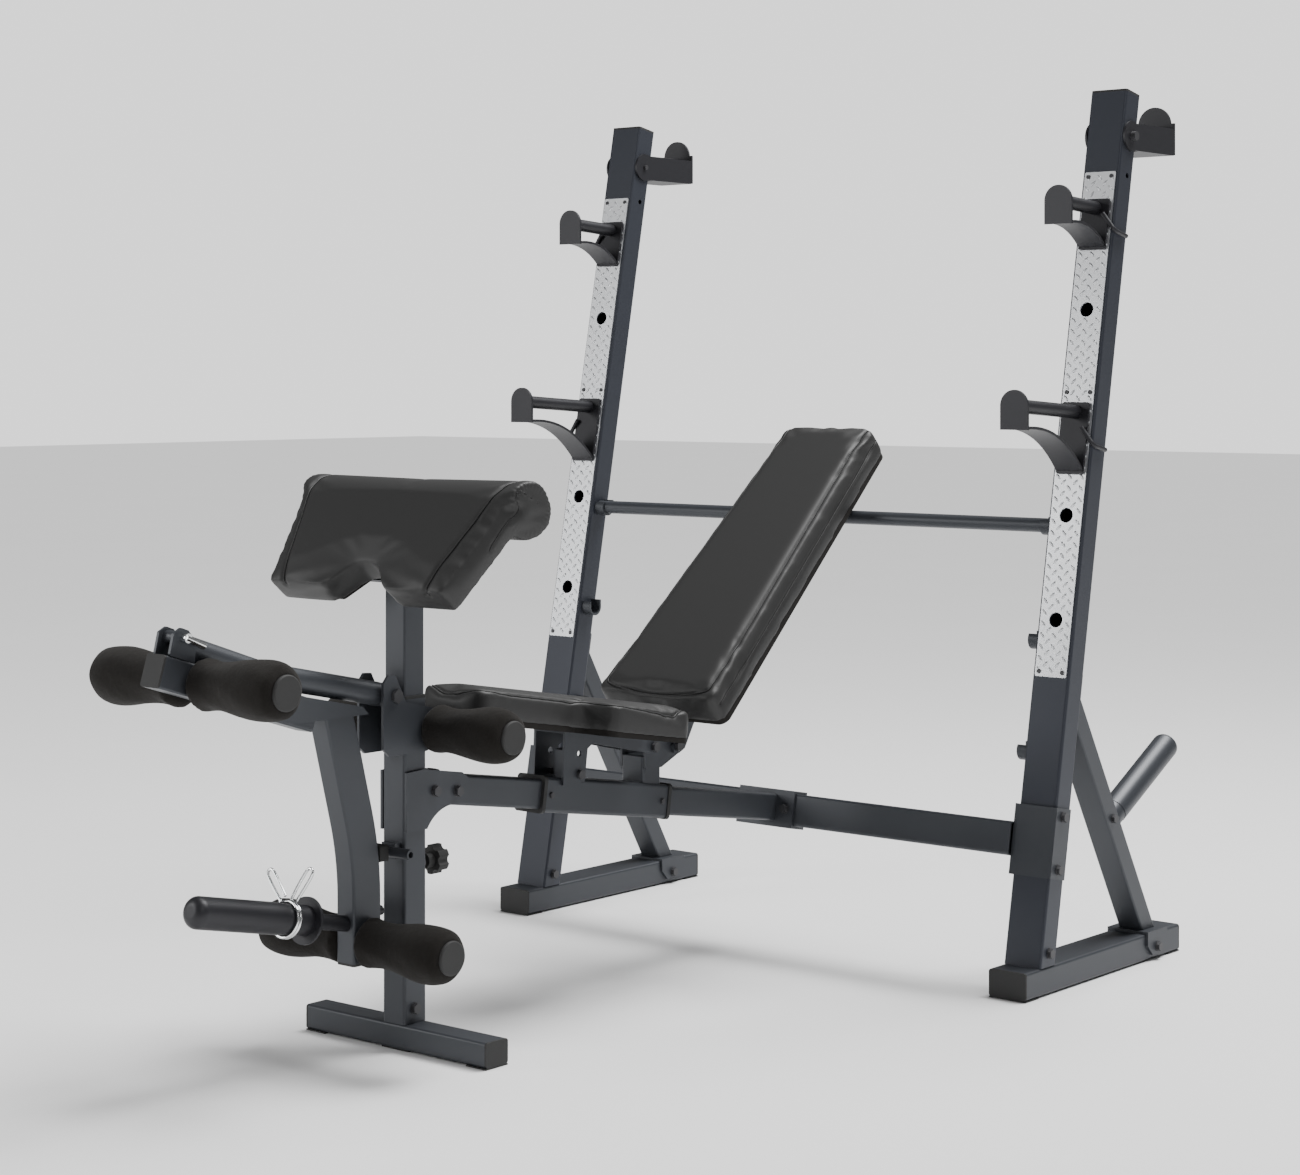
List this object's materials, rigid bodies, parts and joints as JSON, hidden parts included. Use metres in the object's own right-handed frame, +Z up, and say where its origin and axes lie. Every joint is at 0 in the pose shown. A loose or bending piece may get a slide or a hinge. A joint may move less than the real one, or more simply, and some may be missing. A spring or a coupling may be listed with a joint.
{
  "type": "olympic bench press",
  "caption": "Weight bench with leaning rack uprights, reclined backrest, flat seat, foam-roller leg developer and arm curl pad.",
  "frame": {"origin": "on the floor under the middle of the front foot, on the middle plane", "axes": "+X to the right-hand side as seen from the front, +Y to the rear rack, +Z up"},
  "size_m": [1.2622, 1.9994, 1.6088],
  "materials": {
    "frame_paint": "satin dark grey powder coat, fine texture",
    "upright_paint": "satin blue-black powder coat",
    "black_paint": "satin black powder coat",
    "tread_steel": "bright tread pattern plate",
    "dark_bolt": "black zinc fasteners",
    "black_plastic": "moulded black plastic",
    "vinyl": "black upholstery vinyl over foam",
    "board": "dark stained plywood",
    "foam": "black cellular foam rubber",
    "chrome_wire": "polished plated wire",
    "rubber_black": "solid black rubber"
  },
  "bodies": {
    "frame": {"base_tube_left": "frame_paint", "base_tube_right": "frame_paint", "rear_braces": "frame_paint", "brace_brackets": "frame_paint", "cross_member": "frame_paint", "cross_brackets": "frame_paint", "main_beam": "frame_paint", "seat_sleeve": "frame_paint", "seat_post": "frame_paint", "front_post": "frame_paint", "front_foot": "frame_paint", "post_gussets": "frame_paint", "side_plates": "frame_paint", "stop_bar": "frame_paint", "seat_frame": "frame_paint", "seat_pin": "dark_bolt", "seat_board": "board", "seat_pad": "vinyl", "storage_pegs": "frame_paint", "inner_hooks": "frame_paint", "upright_left": "upright_paint", "upright_right": "upright_paint", "tread_plates": "tread_steel", "rear_hooks": "black_paint", "seat_axle": "black_paint", "frame_bolts": "dark_bolt", "pivot_bolts": "dark_bolt", "tube_caps": "black_plastic", "plastic_collars": "black_plastic"},
    "preacher": {"preacher_post": "frame_paint", "preacher_board": "board", "preacher_pad": "vinyl"},
    "lock_knob": {"lock_knob": "black_plastic"},
    "cross_bar": {"cross_bar": "frame_paint"},
    "backrest": {"back_frame": "frame_paint", "back_board": "board", "back_pad": "vinyl"},
    "leg_arm": {"arm_upper": "frame_paint", "arm_lower": "frame_paint", "arm_link": "frame_paint", "arm_caps": "black_plastic", "arm_axles": "black_paint", "weight_post": "black_paint", "weight_sleeve": "black_paint", "arm_bumper": "rubber_black"},
    "spring_clip": {"spring_clip": "chrome_wire"},
    "clevis_pin": {"clevis_pin": "chrome_wire"},
    "foam_front_left": {"foam_front_left": "foam"},
    "foam_front_right": {"foam_front_right": "foam"},
    "foam_low_left": {"foam_low_left": "foam"},
    "foam_low_right": {"foam_low_right": "foam"},
    "foam_seat_left": {"foam_seat_left": "foam"},
    "foam_seat_right": {"foam_seat_right": "foam"},
    "catch_upper_left": {"catch_upper_left": "black_paint"},
    "catch_upper_right": {"catch_upper_right": "black_paint"},
    "catch_lower_left": {"catch_lower_left": "black_paint"},
    "catch_lower_right": {"catch_lower_right": "black_paint"},
    "hook_pin_left": {"hook_pin_left": "dark_bolt"},
    "hook_pin_right": {"hook_pin_right": "dark_bolt"}
  },
  "joints": [
    {"name": "preacher_height", "type": "slide", "parent": "frame", "child": "preacher", "axis": [0, 0, 1], "range_m": [-0.04, 0.06]},
    {"name": "knob_turn", "type": "hinge", "parent": "frame", "child": "lock_knob", "pos_m": [0, 0.06, 0.294], "axis": [0, 1, 0], "continuous": true},
    {"name": "bar_roll", "type": "hinge", "parent": "frame", "child": "cross_bar", "pos_m": [0, 1.115, 0.812], "axis": [1, 0, 0], "continuous": true},
    {"name": "back_raise", "type": "hinge", "parent": "frame", "child": "backrest", "pos_m": [0, 0.655, 0.418], "axis": [1, 0, 0], "range_deg": [0, 20]},
    {"name": "leg_lift", "type": "hinge", "parent": "frame", "child": "leg_arm", "pos_m": [0, -0.05, 0.573], "axis": [-1, 0, 0], "range_deg": [0, 40]},
    {"name": "roll_front_left", "type": "hinge", "parent": "leg_arm", "child": "foam_front_left", "pos_m": [0, -0.443, 0.627], "axis": [1, 0, 0], "continuous": true},
    {"name": "roll_front_right", "type": "hinge", "parent": "leg_arm", "child": "foam_front_right", "pos_m": [0, -0.443, 0.627], "axis": [1, 0, 0], "continuous": true},
    {"name": "roll_low_left", "type": "hinge", "parent": "leg_arm", "child": "foam_low_left", "pos_m": [0, -0.102, 0.188], "axis": [1, 0, 0], "continuous": true},
    {"name": "roll_low_right", "type": "hinge", "parent": "leg_arm", "child": "foam_low_right", "pos_m": [0, -0.102, 0.188], "axis": [1, 0, 0], "continuous": true},
    {"name": "roll_seat_left", "type": "hinge", "parent": "frame", "child": "foam_seat_left", "pos_m": [0, 0.0385, 0.512], "axis": [1, 0, 0], "continuous": true},
    {"name": "roll_seat_right", "type": "hinge", "parent": "frame", "child": "foam_seat_right", "pos_m": [0, 0.0385, 0.512], "axis": [1, 0, 0], "continuous": true},
    {"name": "pull_upper_left", "type": "slide", "parent": "frame", "child": "catch_upper_left", "axis": [0, -0.9816, 0.1908], "range_m": [0, 0.05]},
    {"name": "pull_upper_right", "type": "slide", "parent": "frame", "child": "catch_upper_right", "axis": [0, -0.9816, 0.1908], "range_m": [0, 0.05]},
    {"name": "pull_lower_left", "type": "slide", "parent": "frame", "child": "catch_lower_left", "axis": [0, -0.9816, 0.1908], "range_m": [0, 0.05]},
    {"name": "pull_lower_right", "type": "slide", "parent": "frame", "child": "catch_lower_right", "axis": [0, -0.9816, 0.1908], "range_m": [0, 0.05]},
    {"name": "pin_left_out", "type": "slide", "parent": "frame", "child": "hook_pin_left", "axis": [-1, 0, 0], "range_m": [0, 0.04]},
    {"name": "pin_right_out", "type": "slide", "parent": "frame", "child": "hook_pin_right", "axis": [1, 0, 0], "range_m": [0, 0.04]},
    {"name": "clip_slide", "type": "slide", "parent": "leg_arm", "child": "spring_clip", "axis": [0, -0.9781, 0.2079], "range_m": [-0.025, 0.14]},
    {"name": "clevis_pin_out", "type": "slide", "parent": "leg_arm", "child": "clevis_pin", "axis": [1, 0, 0], "range_m": [0, 0.03]}
  ]
}
